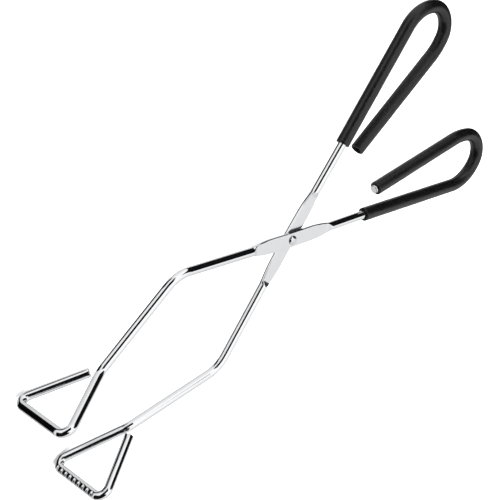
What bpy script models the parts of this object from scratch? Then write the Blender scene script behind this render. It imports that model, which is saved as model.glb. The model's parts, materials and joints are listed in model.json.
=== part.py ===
"""Wire scissor tongs: two identical bent arms crossed on one rivet, with sleeved finger loops.

Frame, in metres: +Z is the rivet's axis, +X runs from the jaws to the finger loops, and the
origin is the middle of the footprint, level with the lowest corner of the jaws. Each arm is
one length of round wire: finger loop, straight, flat pressed for the rivet, straight, bend,
and a closed triangle standing across the plane in which the arms swing. The lower arm is the
upper one turned half a turn about X, and the jaws stand half open.
"""
import math

import bmesh
import bpy
from mathutils import Vector

# Driving dimensions
WIRE_DIAMETER = 0.00635
CLEARANCE = 0.0003              # left between neighbouring pieces

FLAT_THICKNESS = 0.0025         # the wire pressed flat where the arms cross
FLAT_WIDTH = 0.0107             # at its widest
RIVET_SURROUND = 0.006          # round the rivet the flat's outer face is dished this far out
RIVET_DISH = 0.00005            # and this deep, by the riveting
FLAT_REACH = 0.032              # rivet to the end of the full thickness, each way
PRESS_RUN_OUT = 0.0045          # from flat back to round
NARROWING_START = 0.017         # the flat's outline narrows from here
NARROWING_END = 0.0355          # to the wire's own width

TIP_ANGLE = math.radians(27.1)      # jaw side of the arm to the centre line
HANDLE_ANGLE = math.radians(25.2)   # handle side of the arm to the centre line
PIVOT_TO_BEND = 0.0981
BEND_TO_APEX = 0.0758
JAW_LEAN = math.radians(13.2)       # from the bend the arm leans back to the centre line
TRIANGLE_LEAN = math.radians(5.28)  # and the triangle leans out again
TRIANGLE_HEIGHT = 0.0470            # apex to crossbar
CROSSBAR_LENGTH = 0.0540            # between the corners of the wire's centre line
BEND_RADIUS = 0.026
APEX_RADIUS = 0.014
CORNER_RADIUS = 0.0055
CLOSING_BACKSET = 0.0040            # the free side aims at the arm this far behind the apex
TRIANGLE_END_GAP = 0.0095           # and stops this far short of it

PIVOT_TO_LOOP = 0.0715
LOOP_SPREAD = math.radians(0.9)     # the loop's outer side leans away from the arm's line
LOOP_OUTER_SIDE = 0.093
LOOP_SHOULDER = (0.029, math.radians(56.1))   # arcs: radius and angle turned
LOOP_CROWN = (0.016, math.radians(115.3))
LOOP_HEEL = (0.041, math.radians(22.3))
LOOP_INNER_SIDE = 0.086

SLEEVE_DIAMETER = 0.0098
SLEEVE_BORE = WIRE_DIAMETER + 2 * CLEARANCE
UPPER_SLEEVE_SLIP = -0.0020         # slipped back, so that the wire's end shows
LOWER_SLEEVE_SLIP = 0.0017          # pushed on past the wire's end

RIVET_HEAD_DIAMETER = 0.0064
RIVET_HEAD_HEIGHT = 0.0014
RIVET_TAIL_DIAMETER = 0.0058
RIVET_TAIL_HEIGHT = 0.0009
RIVET_SHANK_DIAMETER = 0.0036
RIVET_HOLE_DIAMETER = RIVET_SHANK_DIAMETER + 2 * CLEARANCE

# Worked out from them
WIRE_RADIUS = WIRE_DIAMETER / 2
ARM_LEVEL = (CLEARANCE + FLAT_THICKNESS) / 2   # the upper wire's centre above the mid plane
FLAT_FACE = CLEARANCE / 2 + FLAT_THICKNESS     # the upper flat's outer face
RIVET_SEAT = FLAT_FACE + CLEARANCE

# Fineness of the meshes
WIRE_BEVEL_RESOLUTION = 4       # a twelve-sided section
ARC_STEP = math.radians(12)
PRESS_STEPS = 4
NARROWING_STEPS = 5
RIVET_SIDES = 32
HEAD_STEPS = 5


def heading(angle):
    """Unit vector in the plane of the arms, angle measured from +X."""
    return Vector((math.cos(angle), math.sin(angle), 0))


def arc_steps(angle):
    return max(2, math.ceil(abs(angle) / ARC_STEP))


def walk_arcs(start, angle, arcs):
    """Points along arcs that turn left one after another, and the final heading."""
    points = []
    place = start
    for radius, turn in arcs:
        centre = place + radius * heading(angle + math.pi / 2)
        steps = arc_steps(turn)
        for step in range(1, steps + 1):
            points.append(centre + radius * heading(angle - math.pi / 2 + turn * step / steps))
        place = points[-1]
        angle += turn
    return points, angle


def rounded_corner(before, corner, after, radius):
    """Points of the arc that joins two straights at a corner."""
    back = (before - corner).normalized()
    onward = (after - corner).normalized()
    half = back.angle(onward) / 2
    centre = corner + (back + onward).normalized() * radius / math.sin(half)
    start = corner + back * radius / math.tan(half) - centre
    end = corner + onward * radius / math.tan(half) - centre
    turn = start.angle(end)
    steps = arc_steps(turn)
    points = []
    for step in range(steps + 1):
        share = step / steps
        blend = start * math.sin((1 - share) * turn) + end * math.sin(share * turn)
        points.append(centre + blend / math.sin(turn))
    return points


def finger_loop(slip=0.0):
    """The loop's centre line, from its start on the arm round to its free end."""
    angle = -HANDLE_ANGLE - LOOP_SPREAD
    start = PIVOT_TO_LOOP * heading(-HANDLE_ANGLE)
    shoulder = start + LOOP_OUTER_SIDE * heading(angle)
    first = start + slip * heading(angle)
    arcs, last_angle = walk_arcs(shoulder, angle, (LOOP_SHOULDER, LOOP_CROWN, LOOP_HEEL))
    free_end = arcs[-1] + (LOOP_INNER_SIDE + slip) * heading(last_angle)
    return [first, shoulder] + arcs + [free_end]


def flat_stations():
    """Distances from the rivet at which the pressed wire needs a section, near to far."""
    run_out = [FLAT_REACH + PRESS_RUN_OUT * step / PRESS_STEPS for step in range(PRESS_STEPS + 1)]
    length = FLAT_REACH - NARROWING_START
    narrowing = [NARROWING_START + length * step / NARROWING_STEPS
                 for step in range(NARROWING_STEPS)]
    return [RIVET_SURROUND] + narrowing + run_out


def jaw_path():
    """The arm's centre line from the first bend to the triangle's free end."""
    pivot = Vector((0, 0, 0))
    bend = PIVOT_TO_BEND * heading(math.pi - TIP_ANGLE)
    apex = bend + BEND_TO_APEX * heading(math.pi + JAW_LEAN)
    crossbar = apex + TRIANGLE_HEIGHT * heading(math.pi - TRIANGLE_LEAN)
    half_bar = Vector((0, 0, CROSSBAR_LENGTH / 2))
    closing = apex - CLOSING_BACKSET * heading(math.pi + JAW_LEAN)
    first_corner = crossbar + half_bar
    second_corner = crossbar - half_bar
    path = rounded_corner(pivot, bend, apex, BEND_RADIUS)
    path += rounded_corner(bend, apex, first_corner, APEX_RADIUS)
    path += rounded_corner(apex, first_corner, second_corner, CORNER_RADIUS)
    path += rounded_corner(first_corner, second_corner, closing, CORNER_RADIUS)
    path.append(closing + TRIANGLE_END_GAP * (second_corner - closing).normalized())
    return path


def arm_path():
    """One arm's whole centre line, from the loop's free end to the triangle's."""
    path = list(reversed(finger_loop()))
    path += [distance * heading(-HANDLE_ANGLE) for distance in reversed(flat_stations())]
    path.append(Vector((0, 0, 0)))
    path += [distance * heading(math.pi - TIP_ANGLE) for distance in flat_stations()]
    return path + jaw_path()


def swept_mesh(name, path, radius, capped):
    """A round section swept along a path, as a mesh."""
    curve = bpy.data.curves.new(name + "_line", "CURVE")
    curve.dimensions = "3D"
    curve.bevel_depth = radius
    curve.bevel_resolution = WIRE_BEVEL_RESOLUTION
    curve.use_fill_caps = capped
    spline = curve.splines.new("POLY")
    spline.points.add(len(path) - 1)
    for point, place in zip(spline.points, path):
        point.co = (*place, 1)
    guide = bpy.data.objects.new(name + "_line", curve)
    bpy.context.scene.collection.objects.link(guide)
    bpy.context.view_layer.update()
    evaluated = guide.evaluated_get(bpy.context.evaluated_depsgraph_get())
    mesh = bpy.data.meshes.new_from_object(evaluated)
    mesh.name = name
    bpy.data.objects.remove(guide)
    bpy.data.curves.remove(curve)
    shape = bmesh.new()
    shape.from_mesh(mesh)
    bmesh.ops.remove_doubles(shape, verts=shape.verts, dist=1e-6)
    bmesh.ops.recalc_face_normals(shape, faces=shape.faces)
    shape.to_mesh(mesh)
    shape.free()
    return mesh


def press_amount(distance):
    """How far the wire is pressed at a distance from the rivet: 1 is flat, 0 is round."""
    share = (distance - FLAT_REACH) / PRESS_RUN_OUT
    share = min(max(share, 0.0), 1.0)
    return 1 - share * share * (3 - 2 * share)


def flat_width(distance):
    """Width of the pressed wire at a distance from the rivet."""
    share = (distance - NARROWING_START) / (NARROWING_END - NARROWING_START)
    share = min(max(share, 0.0), 1.0)
    return FLAT_WIDTH - (FLAT_WIDTH - WIRE_DIAMETER) * share * share


def press_flat(mesh):
    """Squeeze the section between two faces around the rivet, and let it spread sideways."""
    for vertex in mesh.vertices:
        place = vertex.co
        side = heading(math.pi - TIP_ANGLE) if place.x < 0 else heading(-HANDLE_ANGLE)
        along = place.x * side.x + place.y * side.y
        amount = press_amount(abs(along))
        if amount == 0:
            continue
        across = Vector((-side.y, side.x, 0))
        offset = place.dot(across)
        spread = flat_width(abs(along)) / WIRE_DIAMETER
        half_height = WIRE_RADIUS + amount * (FLAT_THICKNESS / 2 - WIRE_RADIUS)
        dish = RIVET_DISH if abs(along) < RIVET_SURROUND / 2 else 0
        height = min(max(place.z, -half_height), half_height - dish)
        vertex.co = along * side + offset * spread * across + Vector((0, 0, height))


def smooth_shade(mesh, sharp_degrees=40):
    mesh.shade_smooth()
    mesh.set_sharp_from_angle(angle=math.radians(sharp_degrees))


def make_material(name, colour, metallic, roughness):
    material = bpy.data.materials.new(name)
    material.use_nodes = True
    shader = material.node_tree.nodes["Principled BSDF"]
    shader.inputs["Base Color"].default_value = (*colour, 1)
    shader.inputs["Metallic"].default_value = metallic
    shader.inputs["Roughness"].default_value = roughness
    return material


def add_object(name, mesh, material, collection):
    piece = bpy.data.objects.new(name, mesh)
    if material is not None and not mesh.materials:
        mesh.materials.append(material)
    collection.objects.link(piece)
    return piece


def make_arm_mesh():
    mesh = swept_mesh("arm", arm_path(), WIRE_RADIUS, capped=True)
    press_flat(mesh)
    for vertex in mesh.vertices:
        vertex.co.z += ARM_LEVEL
    smooth_shade(mesh)
    return mesh


def make_sleeve_mesh(name, slip):
    """The sleeve's outer skin. Solidify gives it its wall."""
    path = [place + Vector((0, 0, ARM_LEVEL)) for place in finger_loop(slip)]
    mesh = swept_mesh(name, path, SLEEVE_DIAMETER / 2, capped=False)
    smooth_shade(mesh)
    return mesh


def add_sleeve_wall(sleeve):
    wall = sleeve.modifiers.new("wall", "SOLIDIFY")
    wall.thickness = (SLEEVE_DIAMETER - SLEEVE_BORE) / 2
    wall.offset = -1
    wall.use_even_offset = True


def cap_profile(diameter, height, level):
    """Half of a low dome, from its crown on the axis out to its rim."""
    points = []
    for step in range(HEAD_STEPS + 1):
        angle = math.pi / 2 * step / HEAD_STEPS
        points.append((diameter / 2 * math.sin(angle), level + height * math.cos(angle)))
    return points


def make_rivet_mesh():
    """Half section of the rivet, from the crown of its head to the crown of its tail."""
    shank = RIVET_SHANK_DIAMETER / 2
    head = cap_profile(RIVET_HEAD_DIAMETER, RIVET_HEAD_HEIGHT, RIVET_SEAT)
    tail = cap_profile(RIVET_TAIL_DIAMETER, RIVET_TAIL_HEIGHT, RIVET_SEAT)
    outline = head + [(shank, RIVET_SEAT), (shank, -RIVET_SEAT)]
    outline += [(across, -level) for across, level in reversed(tail)]
    mesh = bpy.data.meshes.new("pivot_rivet")
    corners = [(across, 0, level) for across, level in outline]
    edges = [(index, index + 1) for index in range(len(corners) - 1)]
    mesh.from_pydata(corners, edges, [])
    return mesh


def add_turning(rivet):
    turn = rivet.modifiers.new("turn", "SCREW")
    turn.axis = "Z"
    turn.steps = RIVET_SIDES
    turn.render_steps = RIVET_SIDES
    turn.use_merge_vertices = True
    turn.merge_threshold = 1e-5
    turn.use_smooth_shade = True


def make_hole_cutter(collection):
    bpy.ops.mesh.primitive_cylinder_add(
        vertices=RIVET_SIDES, radius=RIVET_HOLE_DIAMETER / 2, depth=4 * WIRE_DIAMETER)
    cutter = bpy.context.object
    cutter.name = "rivet_hole_cutter"
    for owner in list(cutter.users_collection):
        owner.objects.unlink(cutter)
    collection.objects.link(cutter)
    cutter.hide_render = True
    cutter.display_type = "WIRE"
    return cutter


def drill(arm, cutter):
    hole = arm.modifiers.new("rivet_hole", "BOOLEAN")
    hole.operation = "DIFFERENCE"
    hole.solver = "EXACT"
    hole.object = cutter


def world_box(pieces):
    """Lowest and highest corners of the evaluated pieces."""
    bpy.context.view_layer.update()
    graph = bpy.context.evaluated_depsgraph_get()
    places = []
    for piece in pieces:
        evaluated = piece.evaluated_get(graph)
        mesh = evaluated.to_mesh()
        places += [evaluated.matrix_world @ vertex.co for vertex in mesh.vertices]
        evaluated.to_mesh_clear()
    lowest = Vector([min(place[axis] for place in places) for axis in range(3)])
    highest = Vector([max(place[axis] for place in places) for axis in range(3)])
    return lowest, highest


def build():
    for leftover in list(bpy.data.objects):
        bpy.data.objects.remove(leftover)
    parts = bpy.data.collections.new("scissor_tongs")
    cutters = bpy.data.collections.new("cutters")
    for collection in (parts, cutters):
        bpy.context.scene.collection.children.link(collection)

    chrome = make_material("chromed_wire", (0.80, 0.81, 0.83), 1.0, 0.08)
    vinyl = make_material("black_vinyl", (0.022, 0.022, 0.024), 0.0, 0.42)
    rivet_steel = make_material("rivet_steel", (0.72, 0.73, 0.75), 1.0, 0.18)

    arm_mesh = make_arm_mesh()
    upper_arm = add_object("upper_arm", arm_mesh, chrome, parts)
    lower_arm = add_object("lower_arm", arm_mesh, chrome, parts)
    upper_sleeve = add_object(
        "upper_grip_sleeve", make_sleeve_mesh("upper_sleeve", UPPER_SLEEVE_SLIP), vinyl, parts)
    lower_sleeve = add_object(
        "lower_grip_sleeve", make_sleeve_mesh("lower_sleeve", LOWER_SLEEVE_SLIP), vinyl, parts)
    rivet = add_object("pivot_rivet", make_rivet_mesh(), rivet_steel, parts)

    for sleeve in (upper_sleeve, lower_sleeve):
        add_sleeve_wall(sleeve)
    add_turning(rivet)
    cutter = make_hole_cutter(cutters)
    for arm in (upper_arm, lower_arm):
        drill(arm, cutter)
    for piece in (lower_arm, lower_sleeve):
        piece.rotation_euler.x = math.pi

    # Every piece has its origin on the rivet's axis, so one move puts them all in the frame.
    pieces = [upper_arm, lower_arm, upper_sleeve, lower_sleeve, rivet]
    lowest, highest = world_box(pieces)
    middle = (lowest + highest) / 2
    for piece in pieces + [cutter]:
        piece.location = (-middle.x, -middle.y, -lowest.z)


build()
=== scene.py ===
"""Looks for the wire scissor tongs: two chromed wire arms, two vinyl sleeves and a rivet.

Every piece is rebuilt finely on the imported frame's own places. A piece of the upper arm is made
with the rivet's axis as its origin, and the lower arm is the same mesh turned half a turn about X.
"""

import json
import math

import bmesh
import bpy
from mathutils import Matrix, Vector, noise


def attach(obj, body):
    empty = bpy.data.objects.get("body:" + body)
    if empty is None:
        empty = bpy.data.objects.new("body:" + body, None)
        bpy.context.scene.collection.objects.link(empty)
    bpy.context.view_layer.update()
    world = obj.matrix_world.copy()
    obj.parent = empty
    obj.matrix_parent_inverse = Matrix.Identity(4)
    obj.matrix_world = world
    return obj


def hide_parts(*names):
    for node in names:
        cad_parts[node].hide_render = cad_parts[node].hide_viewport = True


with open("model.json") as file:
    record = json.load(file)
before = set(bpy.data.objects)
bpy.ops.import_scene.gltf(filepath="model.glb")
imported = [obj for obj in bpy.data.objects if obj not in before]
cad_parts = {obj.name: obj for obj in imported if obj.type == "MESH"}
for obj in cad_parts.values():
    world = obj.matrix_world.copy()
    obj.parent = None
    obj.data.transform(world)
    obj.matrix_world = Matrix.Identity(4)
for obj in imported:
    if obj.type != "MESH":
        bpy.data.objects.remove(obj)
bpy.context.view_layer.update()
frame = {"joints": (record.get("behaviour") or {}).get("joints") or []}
pivot = Vector(frame["joints"][0]["pos_m"])

# Driving dimensions, in metres: the CAD's, except that the wire, the sleeves and the rivet are
# made a little slimmer, so that their smooth sections stay within the CAD's faceted ones
WIRE_RADIUS = 0.00312
FLAT_HALF_THICKNESS = 0.00125
FLAT_HALF_WIDTH = 0.00535
FLAT_BULGE = 0.0003             # how far the pressed edges swell sideways
FLAT_REACH = 0.032
PRESS_RUN_OUT = 0.0045
NARROWING_START = 0.017
NARROWING_END = 0.0355
ARM_LEVEL = 0.0014              # the upper wire's centre above the pivot

TIP_ANGLE = math.radians(27.1)
HANDLE_ANGLE = math.radians(25.2)
PIVOT_TO_BEND = 0.0981
BEND_TO_APEX = 0.0758
JAW_LEAN = math.radians(13.2)
TRIANGLE_LEAN = math.radians(5.28)
TRIANGLE_HEIGHT = 0.0470
CROSSBAR_LENGTH = 0.0540
BEND_RADIUS = 0.026
APEX_RADIUS = 0.014
CORNER_RADIUS = 0.0055
CLOSING_BACKSET = 0.0040
TRIANGLE_END_GAP = 0.0095

PIVOT_TO_LOOP = 0.0715
LOOP_SPREAD = math.radians(0.9)
LOOP_OUTER_SIDE = 0.093
LOOP_ARCS = (
    (0.029, math.radians(56.1)),
    (0.016, math.radians(115.3)),
    (0.041, math.radians(22.3)),
)
LOOP_INNER_SIDE = 0.086

SLEEVE_RADIUS = 0.00484
SLEEVE_BORE_RADIUS = 0.003475
UPPER_SLEEVE_SLIP = -0.0020
LOWER_SLEEVE_SLIP = 0.0017

RIVET_SEAT = 0.00295
RIVET_SHANK_RADIUS = 0.0018
RIVET_HOLE_RADIUS = 0.0021
HOLE_CUTTER_LENGTH = 0.02

# How the round wire turns into the flat
FLAT_EDGE_SHARPNESS = 14        # a higher power leaves less of a round along the edges
PRESS_ONSET = 12                # how soon the faces level out where the pressing begins
SATIN_START = 0.9               # share of the half thickness at which a face turns satin
SATIN_GAIN = 8

# Grip notches across the inner side of each crossbar, in place of the marks stamped there
NOTCH_COUNT = 9
NOTCH_PITCH = 0.0045
NOTCH_WIDTH = 0.0021
NOTCH_DEPTH = 0.00036
NOTCH_TURN = math.radians(36)       # from the plane of the gap towards the tip
NOTCH_SPREAD = math.radians(44)     # half the angle that a notch runs round the wire
NOTCH_END_STEEPNESS = 2.2

# The outer skin of a sleeve is a little uneven, and the lips at its ends are not
SKIN_MIN_RADIUS = 0.0046
SKIN_UNEVENNESS = 0.00005
SKIN_WAVES_PER_METRE = 90
SKIN_WAVE_REACH = 0.004             # how far off the centre line the waves are sampled
SKIN_SINK = 0.4                     # keeps most of the waves below the sleeve's radius

# The rivet's tail is slightly lobed from its setting
TAIL_LOBES = 5
TAIL_UNEVENNESS = 0.015

# Fineness
SIDES = 48
RING_ANGLES = [2 * math.pi * step / SIDES for step in range(SIDES)]
ARC_STEP = math.radians(4)
PLAIN_STEP = 0.004
FLAT_STEP = 0.0006
NOTCH_STEP = 0.00022
WELD_DISTANCE = 2e-8
SAME_PLACE = 1e-7
LEVEL_TOLERANCE = 1e-6
CROSSBAR_TOLERANCE = 1e-4
BEYOND_FLAT = 1.0                   # any distance that is well past the flat

# Depth from a cut end, and share of the radius there
WIRE_END = (
    (0.0, 0.0), (0.0, 0.45), (0.0, 0.80), (0.00004, 0.87), (0.00015, 0.94),
    (0.00032, 0.985), (0.0006, 1.0),
)
# Depth from a sleeve's end, and radius there, from the bore over the lip to the outer skin
SLEEVE_END = (
    (0.0006, SLEEVE_BORE_RADIUS), (0.0002, 0.00352), (0.00002, 0.0037), (0.0, 0.0040),
    (0.0, 0.0044), (0.00005, 0.00463), (0.0002, 0.00477), (0.0005, 0.00483),
    (0.0014, SLEEVE_RADIUS),
)
# Radius, and height off the seat
RIVET_HEAD = (
    (0.0, 0.00134), (0.0006, 0.00133), (0.0011, 0.00127), (0.0016, 0.00117), (0.0021, 0.00101),
    (0.0025, 0.00078), (0.0029, 0.00051), (0.0031, 0.00028), (0.00318, 0.00015),
    (0.00318, 0.00005), (0.00310, 0.0),
)
RIVET_TAIL = (
    (0.00280, 0.0), (0.00288, 0.00006), (0.00288, 0.00024), (0.00273, 0.00045),
    (0.0023, 0.00065), (0.0017, 0.00078), (0.0010, 0.00083), (0.0006, 0.00080),
    (0.0003, 0.00072), (0.0, 0.00068),
)

# Textures: frequencies per metre, along the wire and then across it
DRAWN_LINES = (45, 5200, 5200)
CHROME_HAZE = (70, 190, 190)
CHROME_GRAIN = (1900, 2300, 2300)
CHROME_WAVES = (38, 140, 140)
CHROME_SPECKS = (1100, 1100, 1100)
VINYL_GRAIN = (2600, 2600, 2600)
VINYL_CLOUD = (60, 160, 160)
VINYL_LINES = (22, 900, 900)
VINYL_SCUFFS = (160, 2200, 900)
VINYL_SPECKLE = (700, 1000, 1000)
RIVET_RINGS = (5200, 1, 1)          # outwards from the axis
RIVET_MARKS = (900, 900, 900)
PAPER_FIBRE = (40, 40, 40)

# Colours
CHROME_BRIGHT = (0.86, 0.865, 0.875)
CHROME_HAZY = (0.80, 0.81, 0.825)
SATIN_PALE = (0.81, 0.815, 0.83)
SATIN_GREY = (0.75, 0.755, 0.775)
SPECK_GREY = (0.40, 0.40, 0.41)
VINYL_DARK = (0.0008, 0.0008, 0.0009)
VINYL_CLOUDED = (0.0016, 0.0016, 0.0017)
VINYL_SPECKLED = (0.0042, 0.0042, 0.0044)
VINYL_SCUFFED = (0.009, 0.009, 0.009)
RIVET_PALE = (0.80, 0.81, 0.82)
RIVET_GREY = (0.66, 0.67, 0.69)
PAPER_SHADE = (0.90, 0.90, 0.90)
PAPER_PALE = (0.92, 0.92, 0.92)
FLAG_BLACK = (0.004, 0.004, 0.004)

# Roughness, from the smoothest to the dullest place
CHROME_POLISH = (0.035, 0.085)
SATIN_WORN = (0.17, 0.24)
VINYL_SHEEN = (0.24, 0.33)
SCUFF_ROUGHNESS = 0.45
RIVET_POLISH = (0.10, 0.22)
PAPER_ROUGHNESS = 0.9
VINYL_SPECULAR = 0.46

# Camera, as fitted to the arms in the photograph
CAMERA_AIM = Vector((-0.03152, 0.01699, -0.00039))  # from the pivot
CAMERA_DISTANCE = 0.8445
CAMERA_AZIMUTH = math.radians(121.02)               # from +X
CAMERA_ELEVATION = math.radians(41.67)
CAMERA_ROLL = math.radians(115.94)
CAMERA_LENS = 93.66
CAMERA_SENSOR = 36
CAMERA_NEAR = 0.05
CAMERA_FAR = 50

# Studio: directions are degrees from +X and above the floor
SURROUND_HEIGHTS = (             # height of a direction, and how bright the surround is there
    (-1.0, 0.62), (-0.87, 0.68), (-0.64, 0.78), (-0.40, 0.90), (0.0, 1.05), (0.34, 1.13),
    (1.0, 1.19),
)
SHADED_SIDE = math.radians(-101)
SHADED_AMOUNT = 0.32
KEY_POWER = 110.0
KEY_SIZE = 2.5
KEY_HEIGHT = 2.0
FLOOR_HALF_SIZE = 4.0
FLOOR_SEGMENTS = 8
FLOOR_DROP = 0.0002
FLAG_DISTANCE = 3.0
FLAG_ROWS = 8
FLAG_COLUMNS = 12
FLAGS = {                        # azimuths and elevations
    "flag_handles": ((-27, 36), (-28, 56)),
    "flag_handles_low": ((-40, -27), (5, 35)),
    "flag_side": ((69, 135), (15, 57)),
    "flag_back": ((135, 209), (-17, 75)),
    "flag_under": ((94, 195), (-62, -36)),
    "flag_under_side": ((73, 94), (-78, -20)),
}


# ---------------------------------------------------------------- directions and centre lines

def heading(angle):
    """Unit vector in the plane of the arms, angle measured from +X."""
    return Vector((math.cos(angle), math.sin(angle), 0))


def sky_direction(azimuth, elevation):
    """Unit vector at an azimuth from +X and an elevation above the plane of the arms."""
    direction = heading(azimuth) * math.cos(elevation)
    direction.z = math.sin(elevation)
    return direction


def walk_arcs(start, angle, arcs):
    """Points along arcs that turn left one after another, and the final heading."""
    points = []
    place = start
    for radius, turn in arcs:
        centre = place + radius * heading(angle + math.pi / 2)
        steps = max(2, math.ceil(turn / ARC_STEP))
        for step in range(1, steps + 1):
            points.append(centre + radius * heading(angle - math.pi / 2 + turn * step / steps))
        place = points[-1]
        angle += turn
    return points, angle


def rounded_corner(before, corner, after, radius):
    """Points of the arc that joins two straights at a corner."""
    back = (before - corner).normalized()
    onward = (after - corner).normalized()
    half = back.angle(onward) / 2
    centre = corner + (back + onward).normalized() * radius / math.sin(half)
    start = corner + back * radius / math.tan(half) - centre
    end = corner + onward * radius / math.tan(half) - centre
    turn = start.angle(end)
    steps = max(2, math.ceil(turn / ARC_STEP))
    points = []
    for step in range(steps + 1):
        share = step / steps
        blend = start * math.sin((1 - share) * turn) + end * math.sin(share * turn)
        points.append(centre + blend / math.sin(turn))
    return points


def finger_loop(slip=0.0):
    """The loop's centre line, from its start on the arm round to its free end."""
    angle = -HANDLE_ANGLE - LOOP_SPREAD
    start = PIVOT_TO_LOOP * heading(-HANDLE_ANGLE)
    shoulder = start + LOOP_OUTER_SIDE * heading(angle)
    first = start + slip * heading(angle)
    arcs, last_angle = walk_arcs(shoulder, angle, LOOP_ARCS)
    free_end = arcs[-1] + (LOOP_INNER_SIDE + slip) * heading(last_angle)
    return [first, shoulder] + arcs + [free_end]


def jaw_corners():
    """The bend, the apex and the crossbar's two corners."""
    bend = PIVOT_TO_BEND * heading(math.pi - TIP_ANGLE)
    apex = bend + BEND_TO_APEX * heading(math.pi + JAW_LEAN)
    crossbar = apex + TRIANGLE_HEIGHT * heading(math.pi - TRIANGLE_LEAN)
    half_bar = Vector((0, 0, CROSSBAR_LENGTH / 2))
    return bend, apex, crossbar + half_bar, crossbar - half_bar


def arm_path():
    """One arm's centre line, from the loop's free end to the triangle's."""
    centre = Vector((0, 0, 0))
    bend, apex, first, second = jaw_corners()
    path = list(reversed(finger_loop()))
    path.append(centre)
    path += rounded_corner(centre, bend, apex, BEND_RADIUS)
    path += rounded_corner(bend, apex, first, APEX_RADIUS)
    path += rounded_corner(apex, first, second, CORNER_RADIUS)
    closing = apex - CLOSING_BACKSET * heading(math.pi + JAW_LEAN)
    path += rounded_corner(first, second, closing, CORNER_RADIUS)
    path.append(closing + TRIANGLE_END_GAP * (second - closing).normalized())
    return path


def on_crossbar(place):
    """True where the centre line runs along the crossbar, which stands upright."""
    corner = jaw_corners()[2]
    return (place.xy - corner.xy).length < CROSSBAR_TOLERANCE


def arm_step(start, end):
    """How far apart the sections lie between two points of the arm's centre line."""
    if on_crossbar(start) and on_crossbar(end):
        return NOTCH_STEP
    if min(start.length, end.length) < FLAT_REACH + PRESS_RUN_OUT:
        return FLAT_STEP
    return PLAIN_STEP


def sleeve_step(start, end):
    """How far apart the sections of a sleeve lie, which is the same everywhere."""
    return PLAIN_STEP


def subdivided(path, step_rule):
    """The path with points added so that no step is longer than the rule's."""
    points = [path[0]]
    for start, end in zip(path, path[1:]):
        steps = max(1, math.ceil((end - start).length / step_rule(start, end)))
        points += [start.lerp(end, step / steps) for step in range(1, steps + 1)]
    return points


def swept_line(points, end_profile, body_size):
    """Centres and sizes of the sections along a line, with the same profile at both its ends."""
    onward = (points[1] - points[0]).normalized()
    back = (points[-2] - points[-1]).normalized()
    head = [(points[0] + depth * onward, size) for depth, size in end_profile]
    body = [(point, body_size) for point in points[1:-1]]
    tail = [(points[-1] + depth * back, size) for depth, size in reversed(end_profile)]
    return head + body + tail


# ---------------------------------------------------------------- sweeping

def transport_axes(points):
    """The side and up axes at each point, with as little twist as can be."""
    tangents = []
    for index in range(len(points)):
        before = points[max(index - 1, 0)]
        after = points[min(index + 1, len(points) - 1)]
        if 0 < index < len(points) - 1:
            into = (points[index] - before).normalized()
            out = (after - points[index]).normalized()
            tangents.append((into + out).normalized())
        else:
            tangents.append((after - before).normalized())
    axes = []
    up = Vector((0, 0, 1))
    for index, tangent in enumerate(tangents):
        if index > 0:
            up = tangents[index - 1].rotation_difference(tangent) @ up
        up = (up - tangent * up.dot(tangent)).normalized()
        axes.append((up.cross(tangent), up))
    return axes


def axes_of_stations(stations):
    """Sweep axes for stations that may share a centre, as the ones on a cut end do."""
    distinct = []
    index_of = []
    for centre, _ in stations:
        if not distinct or (centre - distinct[-1]).length > SAME_PLACE:
            distinct.append(centre)
        index_of.append(len(distinct) - 1)
    axes = transport_axes(distinct)
    return [axes[index] for index in index_of]


def nearest_axes(place, points, axes):
    """The axes of the point that lies nearest to a place."""
    nearest = min(range(len(points)), key=lambda index: (points[index] - place).length)
    return axes[nearest]


def signed_angle_about_z(start, end):
    """The angle from one direction to the other, seen from above, within half a turn."""
    angle = math.atan2(end.y, end.x) - math.atan2(start.y, start.x)
    return (angle + math.pi) % (2 * math.pi) - math.pi


# ---------------------------------------------------------------- meshes and objects

def add_ring_faces(shape, rings, join_last=False, closed=True):
    """Quads between each ring of vertices and the next; a row that isn't closed has two ends."""
    pairs = list(zip(rings, rings[1:]))
    if join_last:
        pairs.append((rings[-1], rings[0]))
    for ring, following in pairs:
        count = len(ring)
        for index in range(count if closed else count - 1):
            other = (index + 1) % count
            shape.faces.new((ring[index], ring[other], following[other], following[index]))


def mesh_from(shape, name):
    """The bmesh as a mesh; the bmesh is freed."""
    mesh = bpy.data.meshes.new(name)
    shape.to_mesh(mesh)
    shape.free()
    return mesh


def finished_mesh(name, shape, sharp_degrees=50):
    """Close a bmesh into a smooth-shaded mesh."""
    bmesh.ops.remove_doubles(shape, verts=shape.verts, dist=WELD_DISTANCE)
    bmesh.ops.recalc_face_normals(shape, faces=shape.faces)
    mesh = mesh_from(shape, name)
    mesh.shade_smooth()
    mesh.set_sharp_from_angle(angle=math.radians(sharp_degrees))
    return mesh


def add_object(name, data):
    """A new object in the scene."""
    item = bpy.data.objects.new(name, data)
    bpy.context.scene.collection.objects.link(item)
    return item


# ---------------------------------------------------------------- the wire arm

def distance_from_rivet(centre):
    """Distance within the plane of the arms; the triangle's upright parts are far from the flat."""
    return centre.length if abs(centre.z) < LEVEL_TOLERANCE else BEYOND_FLAT


def press_amount(distance):
    """How far the wire is pressed at a distance from the rivet: 1 is flat, 0 is round."""
    share = min(max((distance - FLAT_REACH) / PRESS_RUN_OUT, 0.0), 1.0)
    return 1 - share * share * (3 - 2 * share)


def flat_half_width(distance):
    """Half the pressed wire's width at a distance from the rivet."""
    share = (distance - NARROWING_START) / (NARROWING_END - NARROWING_START)
    share = min(max(share, 0.0), 1.0)
    return FLAT_HALF_WIDTH - (FLAT_HALF_WIDTH - WIRE_RADIUS) * share * share


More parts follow.
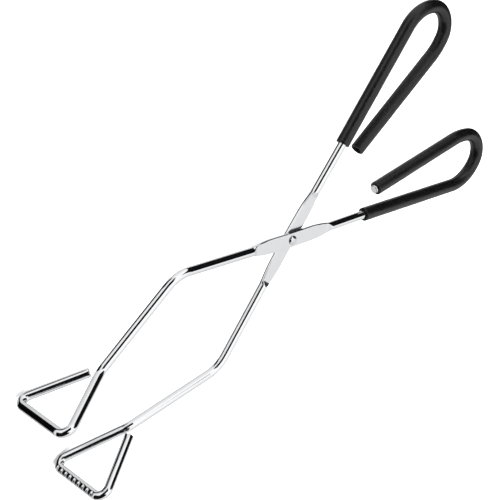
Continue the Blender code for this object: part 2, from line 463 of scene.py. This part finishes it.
def pressed_across(angle, limit, distance):
    """How far out a point of the pressed section lies: nearly upright edges, level faces."""
    half_width = flat_half_width(distance)
    height = math.sin(angle) * WIRE_RADIUS
    if abs(height) < limit:
        swell = FLAT_BULGE * (1 - (height / limit) ** 2)
        return math.copysign(half_width - FLAT_BULGE + swell, math.cos(angle))
    corner = math.sqrt(1 - (limit / WIRE_RADIUS) ** 2)
    return (half_width - FLAT_BULGE) * math.cos(angle) / corner


def soft_limit(height, limit):
    """Height held below the limit, with a small round where the two meet."""
    ratio = abs(height) / limit
    held = limit * ratio / (1 + ratio ** FLAT_EDGE_SHARPNESS) ** (1 / FLAT_EDGE_SHARPNESS)
    return math.copysign(held, height)


def wire_section(angle, share, distance):
    """A point of the wire's section: how far across and up it lies, and how satin it is."""
    across = math.cos(angle) * WIRE_RADIUS * share
    height = math.sin(angle) * WIRE_RADIUS * share
    amount = press_amount(distance)
    if amount <= 0:
        return across, height, 0.0
    limit = WIRE_RADIUS + amount * (FLAT_HALF_THICKNESS - WIRE_RADIUS)
    weight = min(1.0, amount * PRESS_ONSET)
    level = min(1.0, max(0.0, abs(height) / limit - SATIN_START) * SATIN_GAIN)
    height += (soft_limit(height, limit) - height) * weight
    across *= flat_half_width(distance) / WIRE_RADIUS
    across += (pressed_across(angle, limit, distance) - across) * amount ** 2
    return across, height, weight * level


def notch_facing():
    """The direction that the notches face: the jaw's inner side, turned towards the tip."""
    to_tip = math.pi - TRIANGLE_LEAN
    inner = heading(to_tip + math.pi / 2)
    return inner * math.cos(NOTCH_TURN) + heading(to_tip) * math.sin(NOTCH_TURN)


def notch_depth(place, around):
    """Depth of the grip notches at a place on the crossbar; around is from the notch's middle."""
    nearest = round(place / NOTCH_PITCH)
    if abs(nearest) > NOTCH_COUNT // 2:
        return 0.0
    along = abs(place - nearest * NOTCH_PITCH) / (NOTCH_WIDTH / 2)
    if along >= 1 or abs(around) >= NOTCH_SPREAD:
        return 0.0
    edge = math.cos(around / NOTCH_SPREAD * math.pi / 2)
    return NOTCH_DEPTH * (1 - along) * min(1.0, NOTCH_END_STEEPNESS * edge)


def make_arm_mesh():
    """The wire: swept round, pressed flat about the rivet, notched along the crossbar."""
    stations = swept_line(subdivided(arm_path(), arm_step), WIRE_END, 1.0)
    axes = axes_of_stations(stations)
    facing = notch_facing()
    shape = bmesh.new()
    place_layer = shape.verts.layers.float_vector.new("wire_place")
    pressed_layer = shape.verts.layers.float.new("pressed")
    rings = []
    along = 0.0
    for index, (centre, share) in enumerate(stations):
        if index > 0:
            along += (centre - stations[index - 1][0]).length
        side, up = axes[index]
        distance = distance_from_rivet(centre)
        notched = on_crossbar(centre)
        ring = []
        for angle in RING_ANGLES:
            across, height, satin = wire_section(angle, share, distance)
            outward = side * math.cos(angle) + up * math.sin(angle)
            place = centre + side * across + up * height
            if notched:
                around = signed_angle_about_z(facing, outward)
                place -= outward * notch_depth(centre.z, around)
            vertex = shape.verts.new(place)
            vertex[place_layer] = (along, math.cos(angle) * WIRE_RADIUS,
                                   math.sin(angle) * WIRE_RADIUS)
            vertex[pressed_layer] = satin
            ring.append(vertex)
        rings.append(ring)
    add_ring_faces(shape, rings)
    bmesh.ops.translate(shape, verts=shape.verts, vec=(0, 0, ARM_LEVEL))
    return finished_mesh("wire_arm", shape)


def drilled(mesh):
    """The arm's mesh with the rivet's hole cut through its flat."""
    arm = add_object("drilling", mesh)
    shape = bmesh.new()
    bmesh.ops.create_cone(
        shape, cap_ends=True, segments=SIDES, radius1=RIVET_HOLE_RADIUS,
        radius2=RIVET_HOLE_RADIUS, depth=HOLE_CUTTER_LENGTH)
    cutter = add_object("hole_cutter", mesh_from(shape, "hole_cutter"))
    hole = arm.modifiers.new("rivet_hole", "BOOLEAN")
    hole.operation = "DIFFERENCE"
    hole.solver = "EXACT"
    hole.object = cutter
    graph = bpy.context.evaluated_depsgraph_get()
    result = bpy.data.meshes.new_from_object(arm.evaluated_get(graph))
    bpy.data.objects.remove(arm)
    bpy.data.objects.remove(cutter)
    return result


# ---------------------------------------------------------------- the sleeve

def skin_swell(centre, outward, radius):
    """How far the sleeve's outer skin stands off its radius."""
    if radius <= SKIN_MIN_RADIUS:
        return 0.0
    sample = (centre + outward * SKIN_WAVE_REACH) * SKIN_WAVES_PER_METRE
    return SKIN_UNEVENNESS * (noise.noise(sample) - SKIN_SINK)


def make_sleeve_mesh(name, slip):
    """A thick tube: the outer skin with a lip at both ends, and the bore back."""
    points = subdivided(finger_loop(slip), sleeve_step)
    skin = swept_line(points, SLEEVE_END, SLEEVE_RADIUS)
    bore = [(point, SLEEVE_BORE_RADIUS) for point in reversed(points[1:-1])]
    stations = skin + bore
    axes = transport_axes(points)
    shape = bmesh.new()
    place_layer = shape.verts.layers.float_vector.new("wire_place")
    rings = []
    along = 0.0
    for index, (centre, radius) in enumerate(stations):
        if index > 0:
            gap = (centre - stations[index - 1][0]).length
            along += gap if index < len(skin) else -gap
        side, up = nearest_axes(centre, points, axes)
        ring = []
        for angle in RING_ANGLES:
            outward = side * math.cos(angle) + up * math.sin(angle)
            reach = radius + skin_swell(centre, outward, radius)
            vertex = shape.verts.new(centre + outward * reach)
            vertex[place_layer] = (along, math.cos(angle) * radius, math.sin(angle) * radius)
            ring.append(vertex)
        rings.append(ring)
    add_ring_faces(shape, rings, join_last=True)
    bmesh.ops.translate(shape, verts=shape.verts, vec=(0, 0, ARM_LEVEL))
    return finished_mesh(name, shape)


# ---------------------------------------------------------------- the rivet

def rivet_outline():
    """Half section of the rivet, from the head's crown down to the tail's: (radius, height)."""
    outline = [(radius, RIVET_SEAT + height) for radius, height in RIVET_HEAD]
    outline += [(RIVET_SHANK_RADIUS, RIVET_SEAT), (RIVET_SHANK_RADIUS, -RIVET_SEAT)]
    outline += [(radius, -RIVET_SEAT - height) for radius, height in RIVET_TAIL]
    return outline


def make_rivet_mesh():
    """The outline turned about the pivot's axis, with the tail a little uneven."""
    shape = bmesh.new()
    rings = []
    for radius, height in rivet_outline():
        on_tail = height < -RIVET_SEAT - LEVEL_TOLERANCE
        ring = []
        for angle in RING_ANGLES:
            reach = radius
            if on_tail:
                reach *= 1 - TAIL_UNEVENNESS + TAIL_UNEVENNESS * math.sin(TAIL_LOBES * angle)
            place = (reach * math.cos(angle), reach * math.sin(angle), height)
            ring.append(shape.verts.new(place))
        rings.append(ring)
    add_ring_faces(shape, rings)
    return finished_mesh("rivet_turned", shape, sharp_degrees=35)


# ---------------------------------------------------------------- material nodes

def new_material(name):
    """A material, its node tree and its shader."""
    material = bpy.data.materials.new(name)
    material.use_nodes = True
    shader = material.node_tree.nodes["Principled BSDF"]
    return material, material.node_tree, shader


def new_node(tree, kind, **settings):
    """A node with its properties set."""
    node = tree.nodes.new(kind)
    for key, value in settings.items():
        setattr(node, key, value)
    return node


def attribute_socket(tree, name, output):
    """One output of an attribute that the mesh carries."""
    attribute = new_node(tree, "ShaderNodeAttribute", attribute_name=name)
    return attribute.outputs[output]


def object_place(tree):
    """The place on the surface, from the object's own origin."""
    return new_node(tree, "ShaderNodeTexCoord").outputs["Object"]


def scaled_place(tree, source, scale):
    """A vector socket multiplied by a constant scale."""
    multiply = new_node(tree, "ShaderNodeVectorMath", operation="MULTIPLY")
    multiply.inputs[1].default_value = scale
    tree.links.new(source, multiply.inputs[0])
    return multiply.outputs["Vector"]


def noise_value(tree, place, frequencies, detail, roughness=0.5):
    """Noise over a place, at its own frequency along each axis."""
    scaled = scaled_place(tree, place, frequencies)
    texture = new_node(tree, "ShaderNodeTexNoise")
    texture.inputs["Scale"].default_value = 1.0
    texture.inputs["Detail"].default_value = detail
    texture.inputs["Roughness"].default_value = roughness
    tree.links.new(scaled, texture.inputs["Vector"])
    return texture.outputs["Fac"]


def remapped(tree, value, source, target):
    """A value stretched from one range to another, clamped."""
    remap = new_node(tree, "ShaderNodeMapRange")
    remap.inputs["From Min"].default_value = source[0]
    remap.inputs["From Max"].default_value = source[1]
    remap.inputs["To Min"].default_value = target[0]
    remap.inputs["To Max"].default_value = target[1]
    tree.links.new(value, remap.inputs["Value"])
    return remap.outputs["Result"]


def mixed(tree, kind, factor, first, second):
    """Two colours (RGBA) or two values (FLOAT), each a constant or a socket, mixed by a socket."""
    mix = new_node(tree, "ShaderNodeMix", data_type=kind)
    tree.links.new(factor, mix.inputs["Factor"])
    for socket, source in ((mix.inputs["A"], first), (mix.inputs["B"], second)):
        if isinstance(source, bpy.types.NodeSocket):
            tree.links.new(source, socket)
        elif kind == "RGBA":
            socket.default_value = (*source, 1)
        else:
            socket.default_value = source
    return mix.outputs["Result"]


def bumped(tree, height, distance, under=None):
    """A normal raised by a height, over an earlier normal if there is one."""
    bump = new_node(tree, "ShaderNodeBump")
    bump.inputs["Distance"].default_value = distance
    bump.inputs["Strength"].default_value = 1.0
    tree.links.new(height, bump.inputs["Height"])
    if under is not None:
        tree.links.new(under, bump.inputs["Normal"])
    return bump.outputs["Normal"]


# ---------------------------------------------------------------- materials

def make_chrome():
    """Bright chrome over drawn wire; the pressed flats are paler and more satin."""
    material, tree, shader = new_material("chromed_wire")
    place = attribute_socket(tree, "wire_place", "Vector")
    pressed = attribute_socket(tree, "pressed", "Fac")
    drawn = noise_value(tree, place, DRAWN_LINES, detail=2.0)
    haze = noise_value(tree, place, CHROME_HAZE, detail=4.0, roughness=0.6)
    grain = noise_value(tree, place, CHROME_GRAIN, detail=3.0)
    waves = noise_value(tree, place, CHROME_WAVES, detail=1.0)
    specks = noise_value(tree, place, CHROME_SPECKS, detail=1.0)

    bright = mixed(tree, "RGBA", haze, CHROME_BRIGHT, CHROME_HAZY)
    satin = mixed(tree, "RGBA", grain, SATIN_PALE, SATIN_GREY)
    colour = mixed(tree, "RGBA", pressed, bright, satin)
    speck = remapped(tree, specks, (0.74, 0.80), (0.0, 0.5))
    colour = mixed(tree, "RGBA", speck, colour, SPECK_GREY)
    tree.links.new(colour, shader.inputs["Base Color"])

    polish = remapped(tree, haze, (0.35, 0.75), CHROME_POLISH)
    worn = remapped(tree, grain, (0.3, 0.7), SATIN_WORN)
    roughness = mixed(tree, "FLOAT", pressed, polish, worn)
    tree.links.new(roughness, shader.inputs["Roughness"])
    shader.inputs["Metallic"].default_value = 1.0

    normal = bumped(tree, waves, distance=0.00003)
    normal = bumped(tree, drawn, distance=0.0000008, under=normal)
    normal = bumped(tree, grain, distance=0.0000015, under=normal)
    tree.links.new(normal, shader.inputs["Normal"])
    return material


def make_vinyl():
    """Black slip-on vinyl tube: satin, faintly grained and scuffed."""
    material, tree, shader = new_material("black_vinyl")
    place = attribute_socket(tree, "wire_place", "Vector")
    grain = noise_value(tree, place, VINYL_GRAIN, detail=4.0, roughness=0.6)
    cloud = noise_value(tree, place, VINYL_CLOUD, detail=4.0, roughness=0.6)
    lines = noise_value(tree, place, VINYL_LINES, detail=2.0)
    scuffs = noise_value(tree, place, VINYL_SCUFFS, detail=3.0, roughness=0.7)
    speckle = noise_value(tree, place, VINYL_SPECKLE, detail=2.0)
    speckle = remapped(tree, speckle, (0.40, 0.66), (0.0, 1.0))

    dark = mixed(tree, "RGBA", cloud, VINYL_DARK, VINYL_CLOUDED)
    colour = mixed(tree, "RGBA", speckle, dark, VINYL_SPECKLED)
    scuffed = remapped(tree, scuffs, (0.66, 0.78), (0.0, 0.5))
    colour = mixed(tree, "RGBA", scuffed, colour, VINYL_SCUFFED)
    tree.links.new(colour, shader.inputs["Base Color"])

    sheen = remapped(tree, cloud, (0.3, 0.7), VINYL_SHEEN)
    roughness = mixed(tree, "FLOAT", scuffed, sheen, SCUFF_ROUGHNESS)
    tree.links.new(roughness, shader.inputs["Roughness"])
    shader.inputs["Specular IOR Level"].default_value = VINYL_SPECULAR

    normal = bumped(tree, lines, distance=0.00001)
    normal = bumped(tree, speckle, distance=0.00004, under=normal)
    normal = bumped(tree, grain, distance=0.00001, under=normal)
    tree.links.new(normal, shader.inputs["Normal"])
    return material


def make_rivet_steel():
    """Plated steel with faint turning rings and a scuffed crown."""
    material, tree, shader = new_material("rivet_steel")
    place = object_place(tree)
    level = scaled_place(tree, place, (1, 1, 0))
    from_axis = new_node(tree, "ShaderNodeVectorMath", operation="LENGTH")
    tree.links.new(level, from_axis.inputs[0])
    radius = new_node(tree, "ShaderNodeCombineXYZ")
    tree.links.new(from_axis.outputs["Value"], radius.inputs["X"])
    rings = noise_value(tree, radius.outputs["Vector"], RIVET_RINGS, detail=2.0)
    marks = noise_value(tree, place, RIVET_MARKS, detail=4.0, roughness=0.6)

    colour = mixed(tree, "RGBA", marks, RIVET_PALE, RIVET_GREY)
    tree.links.new(colour, shader.inputs["Base Color"])
    roughness = remapped(tree, marks, (0.3, 0.7), RIVET_POLISH)
    tree.links.new(roughness, shader.inputs["Roughness"])
    shader.inputs["Metallic"].default_value = 1.0

    normal = bumped(tree, rings, distance=0.000002)
    normal = bumped(tree, marks, distance=0.00001, under=normal)
    tree.links.new(normal, shader.inputs["Normal"])
    return material


def make_floor_material():
    """Plain pale studio paper."""
    material, tree, shader = new_material("studio_paper")
    fibre = noise_value(tree, object_place(tree), PAPER_FIBRE, detail=4.0)
    colour = mixed(tree, "RGBA", fibre, PAPER_SHADE, PAPER_PALE)
    tree.links.new(colour, shader.inputs["Base Color"])
    shader.inputs["Roughness"].default_value = PAPER_ROUGHNESS
    return material


def make_flag_material():
    """Matt black card that the chrome reflects as dark streaks."""
    material, _, shader = new_material("studio_flag")
    shader.inputs["Base Color"].default_value = (*FLAG_BLACK, 1)
    shader.inputs["Roughness"].default_value = 1.0
    shader.inputs["Specular IOR Level"].default_value = 0.0
    return material


# ---------------------------------------------------------------- the pieces

def add_piece(name, mesh, material, body, node, turned=False):
    """A piece in place on the pivot, riding its body and standing for its CAD node."""
    piece = add_object(name, mesh)
    mesh.materials.clear()
    mesh.materials.append(material)
    turn = Matrix.Rotation(math.pi if turned else 0.0, 4, "X")
    piece.matrix_world = Matrix.Translation(pivot) @ turn
    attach(piece, body)
    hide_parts(node)


def build_tongs():
    """Both arms with their sleeves, and the rivet."""
    chrome = make_chrome()
    vinyl = make_vinyl()
    steel = make_rivet_steel()
    upper_wire = drilled(make_arm_mesh())
    lower_wire = upper_wire.copy()
    upper_sleeve = make_sleeve_mesh("upper_sleeve_tube", UPPER_SLEEVE_SLIP)
    lower_sleeve = make_sleeve_mesh("lower_sleeve_tube", LOWER_SLEEVE_SLIP)
    rivet = make_rivet_mesh()
    add_piece("upper_arm_wire", upper_wire, chrome, "upper", "upper_arm")
    add_piece("lower_arm_wire", lower_wire, chrome, "lower", "lower_arm",
              turned=True)
    add_piece("upper_sleeve_tube", upper_sleeve, vinyl, "upper", "upper_grip_sleeve")
    add_piece("lower_sleeve_tube", lower_sleeve, vinyl, "lower", "lower_grip_sleeve",
              turned=True)
    add_piece("rivet_turned", rivet, steel, "upper", "pivot_rivet")


# ---------------------------------------------------------------- the studio

def add_floor():
    """A pale floor just under the tongs, which the chrome doesn't reflect."""
    shape = bmesh.new()
    bmesh.ops.create_grid(
        shape, x_segments=FLOOR_SEGMENTS, y_segments=FLOOR_SEGMENTS, size=FLOOR_HALF_SIZE)
    mesh = mesh_from(shape, "studio_floor")
    mesh.materials.append(make_floor_material())
    floor = add_object("studio_floor", mesh)
    floor.location.z = -FLOOR_DROP
    floor.visible_glossy = False


def even_angles(ends, steps):
    """Angles in radians at even steps between two ends in degrees."""
    first, last = ends
    return [math.radians(first + (last - first) * step / steps) for step in range(steps + 1)]


def add_flag(name, azimuths, elevations, material):
    """A dark card, curved round the object, that only reflections see."""
    shape = bmesh.new()
    rows = []
    for elevation in even_angles(elevations, FLAG_ROWS):
        row = []
        for azimuth in even_angles(azimuths, FLAG_COLUMNS):
            place = pivot + FLAG_DISTANCE * sky_direction(azimuth, elevation)
            row.append(shape.verts.new(place))
        rows.append(row)
    add_ring_faces(shape, rows, closed=False)
    mesh = mesh_from(shape, name)
    mesh.materials.append(material)
    flag = add_object(name, mesh)
    flag.visible_camera = False
    flag.visible_diffuse = False
    flag.visible_shadow = False
    flag.visible_transmission = False


def add_world():
    """A pale surround: brighter overhead, darker below and towards one side."""
    world = bpy.data.worlds.new("studio")
    world.use_nodes = True
    tree = world.node_tree
    direction = new_node(tree, "ShaderNodeTexCoord").outputs["Generated"]
    split = new_node(tree, "ShaderNodeSeparateXYZ")
    tree.links.new(direction, split.inputs["Vector"])
    ramp = new_node(tree, "ShaderNodeValToRGB")
    tree.links.new(remapped(tree, split.outputs["Z"], (-1, 1), (0, 1)), ramp.inputs["Fac"])
    stops = ramp.color_ramp.elements
    while len(stops) < len(SURROUND_HEIGHTS):
        stops.new(0.5)
    for stop, (height, brightness) in zip(stops, SURROUND_HEIGHTS):
        stop.position = (height + 1) / 2
        stop.color = (brightness, brightness, brightness, 1)
    side = new_node(tree, "ShaderNodeVectorMath", operation="DOT_PRODUCT")
    side.inputs[1].default_value = heading(SHADED_SIDE)
    tree.links.new(direction, side.inputs[0])
    shade = remapped(tree, side.outputs["Value"], (0, 1), (1, 1 - SHADED_AMOUNT))
    background = tree.nodes["Background"]
    tree.links.new(ramp.outputs["Color"], background.inputs["Color"])
    tree.links.new(shade, background.inputs["Strength"])
    bpy.context.scene.world = world


def add_key_light():
    """A large soft light overhead, which keeps the floor pale under the tongs."""
    data = bpy.data.lights.new("key_softbox", "AREA")
    data.shape = "SQUARE"
    data.size = KEY_SIZE
    data.energy = KEY_POWER
    light = add_object("key_softbox", data)
    light.location = pivot + Vector((0, 0, KEY_HEIGHT))
    light.visible_glossy = False


def add_camera():
    """The photograph's camera: aimed, then rolled about its own axis."""
    data = bpy.data.cameras.new("photo_camera")
    data.lens = CAMERA_LENS
    data.sensor_width = CAMERA_SENSOR
    data.clip_start = CAMERA_NEAR
    data.clip_end = CAMERA_FAR
    camera = add_object("photo_camera", data)
    back = sky_direction(CAMERA_AZIMUTH, CAMERA_ELEVATION)
    level = Vector((0, 0, 1)).cross(back).normalized()
    upright = back.cross(level)
    right = level * math.cos(CAMERA_ROLL) + upright * math.sin(CAMERA_ROLL)
    turned = Matrix((right, back.cross(right), back)).transposed().to_4x4()
    place = pivot + CAMERA_AIM + CAMERA_DISTANCE * back
    camera.matrix_world = Matrix.Translation(place) @ turned
    bpy.context.scene.camera = camera


def build_studio():
    """The floor, the cards, the lights and the camera."""
    add_floor()
    card = make_flag_material()
    for name, (azimuths, elevations) in FLAGS.items():
        add_flag(name, azimuths, elevations, card)
    add_world()
    add_key_light()
    add_camera()
    bpy.context.scene.view_settings.view_transform = "Standard"


build_tongs()
build_studio()
